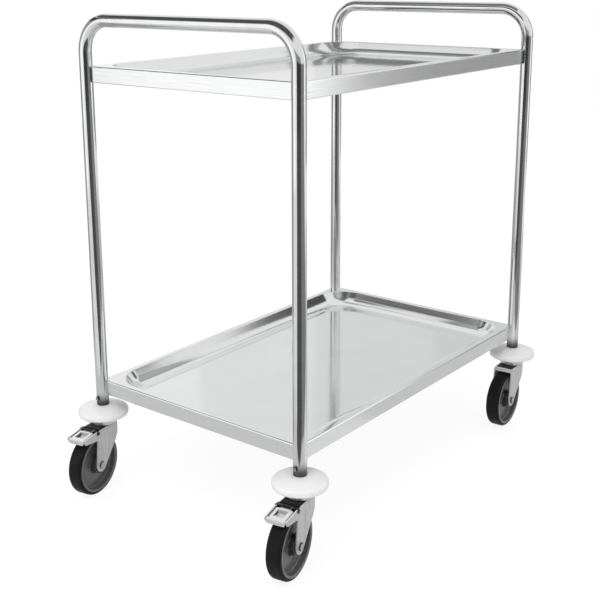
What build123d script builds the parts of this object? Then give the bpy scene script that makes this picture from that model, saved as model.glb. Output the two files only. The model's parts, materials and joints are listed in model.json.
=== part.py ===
from build123d import *
from math import asin, atan2, cos, degrees, hypot, radians, sin, sqrt, tan
import os

# Two-shelf serving trolley in millimetres. +Z is up and the origin lies on the floor, at the centre
# of the four legs. +X runs along the trolley, away from its braked end, and -Y is its front side.
# A castor is modelled with its swivel axis on Z and its wheel trailing along +X, then turned into place.

# Frame of two bent tubes
leg_spacing_x = 800.0
leg_spacing_y = 500.0
total_height = 947.0
tube_d = 25.0
tube_wall = 1.5
handle_bend_r = 60.0

# Pressed shelves
upper_rim_z = 850.0
lower_rim_z = 227.0
sheet = 1.0
apron_h = 30.5
rim_w = 15.0
rim_bend_r = 3.0
recess_depth = 26.5
recess_corner_r = 65.0
recess_top_r = 2.5
recess_floor_r = 8.5
hem_w = 12.0
hem_bend_r = 1.8

# Wheels
wheel_d = 125.0
tyre_w = 30.0
tyre_depth = 8.5
tyre_shoulder_r = 6.5
bead_h = 2.0
bead_w = 2.0
barrel_t = 3.0
web_t = 5.0
web_root_t = 10.0
web_corner_r = 4.0
hub_d = 36.0
rim_edge_r = 1.2

# Castor fork, pressed from one plate
trail = 40.0
plate_t = 2.5
plate_bend_r = 2.0
wheel_to_fork = 4.0
wheel_to_crown = 9.5
crown_back_r = 25.0
crown_front = 40.0
crown_lip_h = 8.5
leg_back = 15.0
leg_front = 46.0
leg_back_drop = 28.0
leg_back_r = 34.0
leg_front_r = 7.0
eye_r = 14.0
swage_w = 17.0
swage_depth = 1.0
swage_x = 13.0
swage_drop = 14.0
swage_h = 40.0

# Swivel bearing and fixing in the leg
bearing_h = 9.0
cup_d = 52.0
cup_t = 2.5
cup_lift = 1.2
ball_ring_d = 40.0
ball_ring_w = 8.0
kingpin_d = 12.0
kingpin_nut_af = 19.0
kingpin_nut_h = 5.0
kingpin_end = 1.5
stem_d = 16.0
stem_h = 56.0
sleeve_h = 50.0

# Bumper discs
disc_d = 100.0
disc_h = 29.0
disc_band_z = 14.0
disc_band_h = 4.0
disc_edge_r = 5.0
disc_shoulder_angle = 25.0
disc_neck_d = 58.0
disc_neck_h = 5.0
disc_top_w = 4.0
disc_socket = 6.0
disc_pocket_d = 46.0
disc_pocket_wall = 4.0
disc_pocket_h = 12.0
disc_rib_count = 6
disc_rib_t = 2.4

# Axle and clamp screws
axle_d = 8.0
axle_af = 13.0
axle_head_h = 3.2
axle_nut_h = 6.5
axle_end = 1.5
bush_d = 12.0
screw_d = 5.0
screw_head_d = 9.0
screw_head_h = 3.6
screw_socket_af = 3.0
screw_socket_h = 2.0
screw_above_disc = 14.8
screw_tip_gap = 1.0

# Foot brake
pivot_ahead = 7.0
pivot_drop = 4.5
pivot_pin_d = 5.0
pivot_head_d = 8.0
pivot_head_h = 1.4
wing_reach = 91.0
wing_tip_drop = 4.5
wing_tip_h = 10.0
wing_root_drop = 19.5
wing_root_r = 6.0
wing_tip_r = 3.0
pedal_t = 2.0
pedal_w = 33.0
pedal_bend_r = 0.8
pedal_neck_w = 18.0
pedal_bar = 4.5
pedal_tip_drop = 0.8
pedal_skirt_h = 5.5
window_w = 20.0
window_l = 20.0
window_ahead = 13.5
window_corner_r = 2.0
lip_w = 36.0
lip_drop = 8.5
lip_r = 5.0
lip_corner_r = 7.0
press_angle = 10.0
shoe_t = 2.0
shoe_w = 22.0
shoe_l = 22.0
shoe_at = 25.0
shoe_gap = 0.4

# Clearances
weld_gap = 0.05
seat_gap = 0.02
running = 0.05
loose = 0.1
turning_gap = 0.4

# How far a cutting shape runs past what it cuts
overshoot = 1.0

# Castors: which leg, how far the wheel has turned from trailing along -X, and whether it has a brake
castors = {
    "front_left": (-1, -1, 10.0, True),
    "rear_left": (-1, 1, 10.0, True),
    "front_right": (1, -1, 3.0, False),
    "rear_right": (1, 1, 6.0, False),
}

# Values worked out from the sizes above
tube_r = tube_d / 2
tube_bore_r = tube_r - tube_wall
handle_z = total_height - tube_r
wheel_r = wheel_d / 2
rim_r = wheel_r - tyre_depth
fork_gap = tyre_w + 2 * wheel_to_fork
fork_w = fork_gap + 2 * plate_t
crown_z = wheel_d + wheel_to_crown + plate_t
cup_top_z = crown_z + bearing_h
disc_top_z = cup_top_z + disc_h
leg_end_z = disc_top_z - disc_socket
screw_z = disc_top_z + screw_above_disc
pivot_x = crown_front + pivot_ahead
pivot_z = crown_z - pivot_drop
pedal_eye_r = pivot_pin_d / 2 + running + pedal_t
pedal_reach = hypot(wing_reach - pivot_x, pedal_tip_drop)
pedal_tilt = asin(pedal_eye_r / pedal_reach) + atan2(pedal_tip_drop, wing_reach - pivot_x)
pedal_l = sqrt(pedal_reach**2 - pedal_eye_r**2) - lip_r
low = (Align.CENTER, Align.CENTER, Align.MIN)
from_x = (Align.MIN, Align.CENTER, Align.MIN)


def rod(radius, bottom, top):
    """Round bar along Z."""
    return Pos(0, 0, bottom) * Cylinder(radius, top - bottom, align=low)


def pipe(outer_r, inner_r, bottom, top):
    """Round bar along Z with a bore right through it."""
    return rod(outer_r, bottom, top) - rod(inner_r, bottom - overshoot, top + overshoot)


def hex_bar(across_flats, bottom, top):
    """Six-sided bar along Z."""
    outline = RegularPolygon(across_flats / 2, 6, major_radius=False)
    return Pos(0, 0, bottom) * extrude(outline, top - bottom)


def turned(points):
    """Solid of revolution about Z from radius and height points."""
    return revolve(Plane.XZ * make_face(Polyline(*points, close=True)), Axis.Z)


def side_plate(outline, width):
    """Side outline, drawn as x and z, given a width centred on the XZ plane."""
    return extrude(Plane.XZ * outline, width / 2, both=True)


def along_y(shape, x=0.0, z=0.0):
    """Shape built on Z, laid along +Y with its axis through x and z."""
    return Pos(x, 0, z) * Rot(X=-90) * shape


def round_corner(outline, x, z, radius):
    """Outline with its corner nearest to x and z rounded."""
    corner = outline.vertices().sort_by_distance((x, z, 0))[0]
    return fillet(corner, radius)


def tangent_point(x, z, centre_x, centre_z, radius, side):
    """Where a line from x, z touches a circle; side is -1 or 1."""
    distance = hypot(centre_x - x, centre_z - z)
    heading = atan2(centre_z - z, centre_x - x) + side * asin(radius / distance)
    reach = sqrt(distance**2 - radius**2)
    return (x + reach * cos(heading), z + reach * sin(heading))


def end_frame(side):
    """Bent tube of one end: two legs and the handle between them."""
    x = side * leg_spacing_x / 2
    y = leg_spacing_y / 2
    bends = FilletPolyline(
        (x, -y, leg_end_z), (x, -y, handle_z), (x, y, handle_z), (x, y, leg_end_z), radius=handle_bend_r
    )
    section = Pos(x, -y, leg_end_z) * (Circle(tube_r) - Circle(tube_bore_r))
    tube = sweep(section, bends)
    drill = Rot(Y=90 * side) * rod(screw_d / 2 + loose, 0, tube_d)
    for end in (-1, 1):
        tube -= Pos(x, end * y, screw_z) * drill
    return tube


def recess(top_z, grow):
    """Space of the tray recess, grown all round by a wall thickness."""
    length = leg_spacing_x - 2 * rim_w + 2 * grow
    width = leg_spacing_y - 2 * rim_w + 2 * grow
    plan = RectangleRounded(length, width, recess_corner_r + grow)
    space = Pos(0, 0, top_z) * extrude(plan, -recess_depth)
    return fillet(space.faces().sort_by(Axis.Z)[0].edges(), recess_floor_r + grow)


def cut_recess(block, top_z, grow, lip_r):
    """Block with the recess sunk into its top and the recess edge rounded."""
    block = block - recess(top_z, grow)
    edge = block.faces().sort_by(Axis.Z)[-1].inner_wires()[0].edges()
    return fillet(edge, lip_r)


def shelf(rim_z):
    """Pressed tray: apron with a folded hem, flat rim, and a sunk floor with rounded walls."""
    base_z = rim_z - apron_h
    block = Pos(0, 0, base_z) * Box(leg_spacing_x, leg_spacing_y, apron_h, align=low)
    block = fillet(block.faces().sort_by(Axis.Z)[0].edges(), hem_bend_r)
    block = fillet(block.faces().sort_by(Axis.Z)[-1].edges(), rim_bend_r)
    block = cut_recess(block, rim_z, 0, recess_top_r)
    inner_x = leg_spacing_x - 2 * sheet
    inner_y = leg_spacing_y - 2 * sheet
    inside = Pos(0, 0, base_z + sheet) * Box(inner_x, inner_y, apron_h - 2 * sheet, align=low)
    inside = fillet(inside.faces().sort_by(Axis.Z)[-1].edges(), rim_bend_r - sheet)
    inside = cut_recess(inside, rim_z - sheet, sheet, recess_top_r - sheet)
    mouth_x = leg_spacing_x - 2 * hem_w
    mouth_y = leg_spacing_y - 2 * hem_w
    mouth = Pos(0, 0, base_z - sheet) * Box(mouth_x, mouth_y, 3 * sheet, align=low)
    tray = block - inside - mouth
    for side in (-1, 1):
        for end in (-1, 1):
            leg = Pos(side * leg_spacing_x / 2, end * leg_spacing_y / 2, 0)
            tray -= leg * rod(tube_r + weld_gap, base_z - sheet, rim_z + sheet)
    return tray


def bumper_disc():
    """Moulded disc: domed top with a socket for the tube, rounded band, tapered neck, ribbed pocket."""
    disc_r = disc_d / 2
    neck_r = disc_neck_d / 2
    socket_r = tube_r + loose
    bore_r = stem_d / 2 + loose
    lean = radians(disc_shoulder_angle)
    edge_r = disc_r - disc_edge_r
    band_low = cup_top_z + disc_band_z - disc_band_h / 2
    band_high = band_low + disc_band_h
    under_z = band_low - disc_edge_r
    shoulder = (edge_r + disc_edge_r * sin(lean), band_high + disc_edge_r * cos(lean))
    crest = (socket_r + disc_top_w, disc_top_z)
    dome = TangentArc(shoulder, crest, tangent=(-1, tan(lean)))
    edge = TangentArc((disc_r, band_high), shoulder, tangent=(0, 1))
    band = Line((disc_r, band_low), (disc_r, band_high))
    under = TangentArc((disc_r, band_low), (edge_r, under_z), tangent=(0, -1))
    inside = Polyline(
        (edge_r, under_z),
        (neck_r, cup_top_z + disc_neck_h),
        (neck_r, cup_top_z),
        (bore_r, cup_top_z),
        (bore_r, leg_end_z),
        (socket_r, leg_end_z),
        (socket_r, disc_top_z),
        crest,
    )
    disc = revolve(Plane.XZ * make_face([dome, edge, band, under, *inside.edges()]), Axis.Z)
    pocket_r = disc_pocket_d / 2
    hub_r = bore_r + disc_pocket_wall
    pocket = pipe(pocket_r, hub_r, cup_top_z - overshoot, cup_top_z + disc_pocket_h)
    rib = Box(pocket_r, disc_rib_t, disc_pocket_h, align=from_x)
    for step in range(disc_rib_count):
        pocket -= Rot(Z=step * 360 / disc_rib_count) * Pos(0, 0, cup_top_z) * rib
    return disc - pocket


def castor_stem():
    """Turned stem: thick end up inside the leg, kingpin down through the fork crown."""
    stem_r = stem_d / 2
    nut_low = crown_z - plate_t - turning_gap - kingpin_nut_h
    stem = rod(stem_r, cup_top_z, leg_end_z + stem_h) + rod(kingpin_d / 2, nut_low - kingpin_end, cup_top_z)
    drill = Rot(Y=90) * rod(screw_d / 2 + running, 0, stem_d)
    return stem - Pos(0, 0, screw_z) * drill


def swivel_cup():
    """Upper bearing cup, a pressed cap over the ball ring."""
    cup_r = cup_d / 2
    skirt_low = crown_z + cup_lift
    cup = rod(cup_r, skirt_low, cup_top_z)
    cup = chamfer(cup.faces().sort_by(Axis.Z)[-1].edges(), cup_t / 2)
    cup -= rod(cup_r - cup_t, skirt_low - overshoot, cup_top_z - cup_t)
    return cup - rod(kingpin_d / 2 + running, skirt_low, cup_top_z + overshoot)


def ball_ring():
    """Caged ball row between crown and cup, as one ring with rounded running faces."""
    top_z = cup_top_z - cup_t - turning_gap
    ring_r = ball_ring_d / 2
    face = (top_z - crown_z) / 4
    points = [
        (ring_r, crown_z + face),
        (ring_r, top_z - face),
        (ring_r - face, top_z),
        (ring_r - ball_ring_w + face, top_z),
        (ring_r - ball_ring_w, top_z - face),
        (ring_r - ball_ring_w, crown_z + face),
        (ring_r - ball_ring_w + face, crown_z),
        (ring_r - face, crown_z),
    ]
    return turned(points)


def kingpin_nut():
    """Nut that holds the fork on the kingpin."""
    top_z = crown_z - plate_t - turning_gap
    nut = hex_bar(kingpin_nut_af, top_z - kingpin_nut_h, top_z)
    return nut - rod(kingpin_d / 2 + seat_gap, 0, top_z + overshoot)


def fork_outline(braked):
    """Side view of the fork: upright leg swept to the axle eye, and the brake wing where there is one."""
    back_low_z = crown_z - leg_back_drop
    back_touch = tangent_point(-leg_back, back_low_z, trail, wheel_r, eye_r, -1)
    front_touch = tangent_point(leg_front, crown_z, trail, wheel_r, eye_r, 1)
    eye = ThreePointArc(back_touch, (trail, wheel_r - eye_r), front_touch)
    sides = Polyline(
        front_touch,
        (leg_front, crown_z),
        (-leg_back, crown_z),
        (-leg_back, back_low_z),
        back_touch,
    )
    outline = make_face([eye, *sides.edges()])
    outline = round_corner(outline, -leg_back, back_low_z, leg_back_r)
    if not braked:
        return round_corner(outline, leg_front, crown_z, leg_front_r)
    tip_z = crown_z - wing_tip_drop
    root_z = crown_z - wing_root_drop
    wing = make_face(
        Polyline(
            (crown_front, crown_z),
            (wing_reach, tip_z),
            (wing_reach - wing_tip_h / 2, tip_z - wing_tip_h),
            (leg_front, root_z),
            (crown_front, root_z),
            close=True,
        )
    )
    outline = outline + wing
    root_x = leg_front + (leg_front - crown_front) / 2
    outline = round_corner(outline, root_x, root_z, wing_root_r)
    outline = round_corner(outline, wing_reach, tip_z, wing_tip_r)
    return round_corner(outline, wing_reach - wing_tip_h / 2, tip_z - wing_tip_h, wing_tip_r)


def channel(width, top_z, bend_r, start_x, end_x):
    """Bar along X with its two top corners rounded."""
    section = Pos(0, top_z / 2) * Rectangle(width, top_z)
    section = fillet(section.vertices().group_by(Axis.Y)[-1], bend_r)
    across = Plane(origin=(start_x, 0, 0), x_dir=(0, 1, 0), z_dir=(1, 0, 0))
    return extrude(across * section, end_x - start_x)


def between_legs(braked, outline, far):
    """What is taken out between the legs: open in front for the brake, and behind a lip otherwise."""
    front = crown_front if braked else leg_front
    under_crown = channel(fork_gap, crown_z - plate_t, plate_bend_r, -far, front)
    if braked:
        return under_crown + Pos(front, 0, 0) * Box(far, fork_gap, crown_z + overshoot, align=from_x)
    inside = side_plate(offset(outline, -plate_t), fork_gap)
    behind = Pos(-far, 0, 0) * Box(far, fork_gap, crown_z, align=from_x)
    below = Box(far, fork_gap, crown_z - crown_lip_h, align=from_x)
    return (under_crown & (inside + behind)) + below


def fork(braked):
    """Pressed fork: crown bent down into two legs, with a swage down each leg."""
    far = wing_reach + trail
    front = crown_front if braked else leg_front
    outline = fork_outline(braked)
    beyond = Pos(front, 0, 0) * Box(far, fork_w, crown_z, align=from_x)
    outer_bend = plate_bend_r + plate_t
    pressed = side_plate(outline, fork_w) & (channel(fork_w, crown_z, outer_bend, -far, front) + beyond)
    pressed -= between_legs(braked, outline, far)
    back_half = Pos(-crown_back_r / 2, 0) * Rectangle(crown_back_r, fork_w - 2 * outer_bend)
    crown_plan = Circle(crown_back_r) & back_half
    pressed += Pos(0, 0, crown_z - plate_t) * extrude(crown_plan, plate_t)
    swage_low = crown_z - swage_drop - swage_h
    swage_mid = swage_low + swage_h / 2
    for side in (-1, 1):
        raised = Plane(origin=(swage_x, side * fork_w / 2, swage_mid), x_dir=(1, 0, 0), z_dir=(0, side, 0))
        sunk = Plane(origin=(swage_x, side * fork_gap / 2, swage_mid), x_dir=(1, 0, 0), z_dir=(0, side, 0))
        slot_plan = Rot(Z=90) * SlotOverall(swage_h, swage_w)
        groove_plan = Rot(Z=90) * SlotOverall(swage_h - 2 * swage_depth, swage_w - 2 * swage_depth)
        pressed += extrude(raised * slot_plan, swage_depth, taper=45)
        pressed -= extrude(sunk * groove_plan, swage_depth, taper=45)
    pressed -= rod(kingpin_d / 2 + running, crown_z - 2 * plate_t, crown_z + overshoot)
    pressed -= along_y(rod(axle_d / 2 + running, -fork_w, fork_w), trail, wheel_r)
    if braked:
        pressed -= along_y(rod(pivot_pin_d / 2 + running, -fork_w, fork_w), pivot_x, pivot_z)
    return pressed


def axle_bolt():
    """Hexagon bolt through both legs of the fork."""
    outer = fork_w / 2
    shank = rod(axle_d / 2, -outer - axle_nut_h - axle_end, outer)
    head = hex_bar(axle_af, outer, outer + axle_head_h)
    return along_y(shank + head, trail, wheel_r)


def axle_nut():
    """Lock nut on the axle bolt."""
    outer = fork_w / 2
    nut = hex_bar(axle_af, -outer - axle_nut_h, -outer) - rod(axle_d / 2 + seat_gap, -fork_w, 0)
    return along_y(nut, trail, wheel_r)


def axle_bush():
    """Spacer tube that the bolt clamps between the fork legs and the wheel turns on."""
    half = fork_gap / 2
    return along_y(pipe(bush_d / 2, axle_d / 2 + running, -half, half), trail, wheel_r)


def wheel_rim():
    """Moulded wheel centre: barrel with beads, hub, and a web that thickens towards the hub."""
    half_w = tyre_w / 2 - seat_gap
    barrel_r = rim_r - barrel_t
    hub_r = hub_d / 2
    hub_half = fork_gap / 2 - wheel_to_fork / 4
    bead_r = rim_r + bead_h
    bead_in = half_w - bead_w
    bore_r = bush_d / 2 + running
    upper = [
        (bore_r, hub_half),
        (hub_r, hub_half),
        (hub_r, web_root_t / 2),
        (barrel_r, web_t / 2),
        (barrel_r, half_w),
        (bead_r, half_w),
        (bead_r, bead_in),
        (rim_r, bead_in),
    ]
    lower = [(radius, -height) for radius, height in reversed(upper)]
    outline = make_face(Polyline(*upper, *lower, close=True))
    for side in (-1, 1):
        outline = round_corner(outline, hub_r, side * hub_half, rim_edge_r)
        outline = round_corner(outline, hub_r, side * web_root_t / 2, web_corner_r)
        outline = round_corner(outline, barrel_r, side * web_t / 2, web_corner_r)
        outline = round_corner(outline, barrel_r, side * half_w, rim_edge_r)
    return along_y(revolve(Plane.XZ * outline, Axis.Z), trail, wheel_r)


def tyre():
    """Rubber tyre with rounded shoulders, seated between the beads of the rim."""
    half_w = tyre_w / 2
    seat_r = rim_r + seat_gap
    bead_r = rim_r + bead_h + seat_gap
    bead_in = half_w - bead_w - 2 * seat_gap
    points = [
        (seat_r, -bead_in),
        (bead_r, -bead_in),
        (bead_r, -half_w),
        (wheel_r, -half_w),
        (wheel_r, half_w),
        (bead_r, half_w),
        (bead_r, bead_in),
        (seat_r, bead_in),
    ]
    outline = make_face(Polyline(*points, close=True))
    shoulder = min(tyre_shoulder_r, wheel_r - bead_r)
    for side in (-1, 1):
        outline = round_corner(outline, wheel_r, side * half_w, shoulder)
    return along_y(revolve(Plane.XZ * outline, Axis.Z), trail, wheel_r)


def leg_sleeve():
    """Plastic sleeve that fills the leg round the castor stem."""
    sleeve = pipe(tube_bore_r - seat_gap, stem_d / 2 + seat_gap, leg_end_z, leg_end_z + sleeve_h)
    return sleeve - Pos(0, 0, screw_z) * Rot(Y=90) * rod(screw_d / 2 + running, 0, tube_d)


def clamp_screw():
    """Socket screw through the leg into the stem, pointing along +X from outside."""
    head_top = tube_r + screw_head_h
    head = rod(screw_head_d / 2, tube_r, head_top)
    head = chamfer(head.faces().sort_by(Axis.Z)[-1].edges(), screw_head_h / 3)
    head -= hex_bar(screw_socket_af, head_top - screw_socket_h, head_top + overshoot)
    return Pos(0, 0, screw_z) * Rot(Y=90) * (head + rod(screw_d / 2, screw_tip_gap, tube_r))


def pedal_line(x):
    """Height of the pedal's top face above a point of the castor."""
    return pivot_z + pedal_eye_r / cos(pedal_tilt) - (x - pivot_x) * tan(pedal_tilt)


def brake_pedal():
    """Pressed pedal: windowed pan with turned-down sides, a rolled toe lip, and a neck rolled into an eye."""
    pan_start = window_ahead - pedal_bar
    outside = channel(pedal_w, pedal_skirt_h, pedal_bend_r + pedal_t, pan_start, pedal_l)
    inside_w = pedal_w - 2 * pedal_t
    inside_h = pedal_skirt_h - pedal_t
    inside = channel(inside_w, inside_h, pedal_bend_r, pan_start - overshoot, pedal_l + overshoot)
    window = extrude(RectangleRounded(window_l, window_w, window_corner_r), pedal_skirt_h + overshoot)
    window_x = window_ahead + window_l / 2
    pan = Pos(0, 0, -pedal_skirt_h) * (outside - inside - Pos(window_x, 0, 0) * window)
    lip_x = pedal_l + lip_r
    lip_low = -lip_r - lip_drop / 2
    lip_profile = make_face(
        [
            Line((pedal_l, -pedal_t), (pedal_l, 0)),
            TangentArc((pedal_l, 0), (lip_x, -lip_r), tangent=(1, 0)),
            Line((lip_x, -lip_r), (lip_x, lip_low)),
            Line((lip_x, lip_low), (lip_x - pedal_t, lip_low)),
            Line((lip_x - pedal_t, lip_low), (lip_x - pedal_t, -lip_r)),
            TangentArc((lip_x - pedal_t, -lip_r), (pedal_l, -pedal_t), tangent=(0, 1)),
        ]
    )
    lip = side_plate(lip_profile, lip_w)
    corners = lip.edges().filter_by(Axis.X).group_by(Axis.Z)[0]
    lip = fillet(corners, min(lip_corner_r, lip_drop / 2))
    neck = Pos(0, 0, -pedal_t) * Box(window_ahead - pedal_bar / 2, pedal_neck_w, pedal_t, align=from_x)
    eye = along_y(rod(pedal_eye_r, -pedal_neck_w / 2, pedal_neck_w / 2))
    pedal = Pos(0, 0, pedal_eye_r) * (pan + lip + neck) + eye
    pedal = Pos(pivot_x, 0, pivot_z) * Rot(Y=degrees(pedal_tilt)) * pedal
    return pedal - along_y(rod(pivot_pin_d / 2 + running, -fork_w, fork_w), pivot_x, pivot_z)


def brake_shoe():
    """Sprung steel leaf under the pedal, which comes down flat on the tyre."""
    leaf = Pos(0, wheel_r + shoe_gap + shoe_t / 2) * Rectangle(shoe_l, shoe_t)
    leaf = Pos(trail, wheel_r) * Rot(Z=-shoe_at) * leaf
    leaf = Pos(pivot_x, pivot_z) * Rot(Z=press_angle) * Pos(-pivot_x, -pivot_z) * leaf
    foot = leaf.vertices().sort_by(Axis.X)[0]
    drop = pedal_t / cos(pedal_tilt)
    riser = make_face(
        Polyline(
            (foot.X, pedal_line(foot.X) - drop),
            (foot.X + shoe_t, pedal_line(foot.X + shoe_t) - drop),
            (foot.X + shoe_t, foot.Y + shoe_t / 2),
            (foot.X, foot.Y),
            close=True,
        )
    )
    return side_plate(leaf + riser, shoe_w)


def pedal_pin():
    """Riveted pin through both wings and the pedal's eye."""
    outer = fork_w / 2
    pin = rod(pivot_pin_d / 2, -outer - pivot_head_h, outer + pivot_head_h)
    for start in (-outer - pivot_head_h, outer):
        pin += rod(pivot_head_d / 2, start, start + pivot_head_h)
    return along_y(pin, pivot_x, pivot_z)


os.makedirs("parts", exist_ok=True)
parts = {
    "left_end_frame": end_frame(-1),
    "right_end_frame": end_frame(1),
    "upper_shelf": shelf(upper_rim_z),
    "lower_shelf": shelf(lower_rim_z),
}
fixed_pieces = {
    "bumper_disc": bumper_disc(),
    "castor_stem": castor_stem(),
    "swivel_cup": swivel_cup(),
    "kingpin_nut": kingpin_nut(),
}
castor_pieces = {
    "ball_ring": ball_ring(),
    "axle_bolt": axle_bolt(),
    "axle_nut": axle_nut(),
    "axle_bush": axle_bush(),
    "wheel_rim": wheel_rim(),
    "tyre": tyre(),
}
brake_pieces = {
    "brake_pedal": brake_pedal(),
    "brake_shoe": brake_shoe(),
    "pedal_pin": pedal_pin(),
}
forks = {braked: fork(braked) for braked in (False, True)}
sleeve = leg_sleeve()
screw = clamp_screw()
sleeves = []
screws = []

for leg, (side, end, turn, braked) in castors.items():
    foot = Pos(side * leg_spacing_x / 2, end * leg_spacing_y / 2, 0)
    outward = foot * Rot(Z=0 if side > 0 else 180)
    trailing = foot * Rot(Z=180 + turn)
    sleeves.append(outward * sleeve)
    screws.append(outward * screw)
    for name, piece in fixed_pieces.items():
        parts[f"{name}_{leg}"] = outward * piece
    for name, piece in castor_pieces.items():
        parts[f"{name}_{leg}"] = trailing * piece
    parts[f"fork_{leg}"] = trailing * forks[braked]
    if braked:
        for name, piece in brake_pieces.items():
            parts[f"{name}_{leg}"] = trailing * piece

parts["leg_sleeves"] = Compound(children=sleeves)
parts["clamp_screws"] = Compound(children=screws)

for name, piece in parts.items():
    export_step(piece, f"parts/{name}.step")
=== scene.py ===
import json
import math

import bmesh
import bpy
from bpy.props import FloatProperty, FloatVectorProperty, IntProperty, PointerProperty
from mathutils import Matrix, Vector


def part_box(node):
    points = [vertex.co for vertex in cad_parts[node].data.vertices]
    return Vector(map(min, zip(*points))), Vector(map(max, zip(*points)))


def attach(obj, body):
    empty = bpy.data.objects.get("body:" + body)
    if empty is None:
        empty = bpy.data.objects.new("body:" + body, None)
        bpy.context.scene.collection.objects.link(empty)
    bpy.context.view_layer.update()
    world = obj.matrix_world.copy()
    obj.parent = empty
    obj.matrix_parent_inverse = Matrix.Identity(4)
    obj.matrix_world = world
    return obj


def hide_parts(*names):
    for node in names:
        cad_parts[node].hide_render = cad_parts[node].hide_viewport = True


bl_info = {
    "name": "Serving trolley",
    "version": (1, 0, 0),
    "blender": (4, 5, 0),
    "location": "View3D > Sidebar > Trolley",
    "description": "Dresses the packed serving trolley and sets it on a pale studio floor",
    "category": "Object",
}

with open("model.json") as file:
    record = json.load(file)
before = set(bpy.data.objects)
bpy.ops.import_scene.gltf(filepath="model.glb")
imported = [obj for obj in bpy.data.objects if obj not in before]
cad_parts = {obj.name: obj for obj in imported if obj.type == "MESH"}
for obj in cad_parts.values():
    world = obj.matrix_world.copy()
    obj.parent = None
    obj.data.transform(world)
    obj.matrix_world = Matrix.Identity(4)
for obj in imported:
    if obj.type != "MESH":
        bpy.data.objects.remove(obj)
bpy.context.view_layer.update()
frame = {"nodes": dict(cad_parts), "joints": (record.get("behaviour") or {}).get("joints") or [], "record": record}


def joints_called(start):
    """Joints whose names start alike, under the rest of each name."""
    return {
        joint["name"].removeprefix(start): joint
        for joint in frame["joints"]
        if joint["name"].startswith(start)
    }


SWIVELS = joints_called("swivel_")
AXLES = joints_called("wheel_spin_")
LEGS = list(SWIVELS)
BRAKED = list(joints_called("brake_press_"))
HANDLE = next(mount for mount in frame["record"]["mounts"] if mount["name"] == "left_handle")

# Pressed shelves, in metres.
SHEET = 0.001
RIM_BEND = 0.003
HEM_BEND = 0.0018
HEM_WIDTH = 0.012
RECESS_EDGE = 0.0125
RECESS_LIP = 0.0025
RECESS_CORNER = 0.080
FLOOR_RUN = 4 * SHEET
WELD_GAP = 0.00005
MERGE_REACH = 0.000001
SHARP_ANGLE = math.radians(30)

# Painted shade, in metres: heights over a disc where a tube's foot is darkened, depths under a fork's crown where
# it is painted near black, sizes of the dark round a hub.
FOOT_SHADE_FROM = 0.030
FOOT_SHADE_BELOW = 0.004
TOP_SHADE_FROM = 0.0012
TOP_SHADE_FULL = 0.0006
FRONT_SHADE_FROM = 0.005
FRONT_SHADE_FULL = 0.0045
HUB_RADIUS = 0.014
HUB_FADE = 0.012
CROWN_SHADE = (0.006, 0.006, 0.006)
HUB_SHADE = (0.008, 0.008, 0.008)

# Shelf sheets: name, the node that each stands for, and the roughness of its floor.
SHELVES = (
    ("upper_sheet", "upper_shelf", 0.06),
    ("lower_sheet", "lower_shelf", 0.07),
)

# Studio floor: half its width in metres, and its own brightness and shade where it is seen.
FLOOR_REACH = 40.0
FLOOR_GLOW = 0.86
FLOOR_SHADE = (0.2, 0.2, 0.2)

# Lamp on the left: size and place in metres, and its turn about Y.
LAMP_SIZE = (2.6, 2.0)
LAMP_PLACE = (-2.4, -0.6, 2.9)
LAMP_TURN = math.radians(-42)

# Level cards: name, outline, height, brightness and width of the soft edge.
LEVEL_CARDS = (
    (
        "pale_floor_card",
        ((-2.2, -1.6), (2.2, -1.6), (2.2, 2.2), (-2.2, 2.2)),
        0.001,
        0.70,
        0.0,
    ),
    (
        "left_floor_card",
        ((-1.0, -0.15), (-5.6, -0.6), (-3.4, 0.7), (-2.17, 2.51), (-1.0, 1.0)),
        0.002,
        0.92,
        0.0,
    ),
    (
        "back_floor_card",
        ((-1.0, 1.0), (-2.17, 2.51), (1.6, 4.3), (1.0, 1.0)),
        0.002,
        0.42,
        0.0,
    ),
    (
        "dark_floor_card",
        ((-0.9, -0.15), (-5.6, -0.6), (-4.6, -4.4), (-2.9, -6.0), (-0.6, -0.75)),
        0.003,
        0.09,
        0.0,
    ),
    (
        "grey_floor_card",
        ((-2.9, -6.0), (2.2, -6.0), (0.75, -0.95), (-0.6, -0.75)),
        0.003,
        0.25,
        0.0,
    ),
    (
        "near_floor_card",
        ((-0.2, -0.72), (0.18, -0.85), (0.18, -0.3), (-0.2, -0.3)),
        0.004,
        0.88,
        0.0,
    ),
    (
        "dark_right_top_card",
        ((0.355, -0.24), (0.398, -0.24), (0.398, 0.28), (0.355, 0.28)),
        0.975,
        0.22,
        0.0,
    ),
    (
        "dark_left_top_card",
        ((-1.3, -0.68), (-0.22, -0.68), (-0.22, 1.23), (-1.3, 1.23)),
        1.5,
        0.10,
        0.16,
    ),
)

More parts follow.
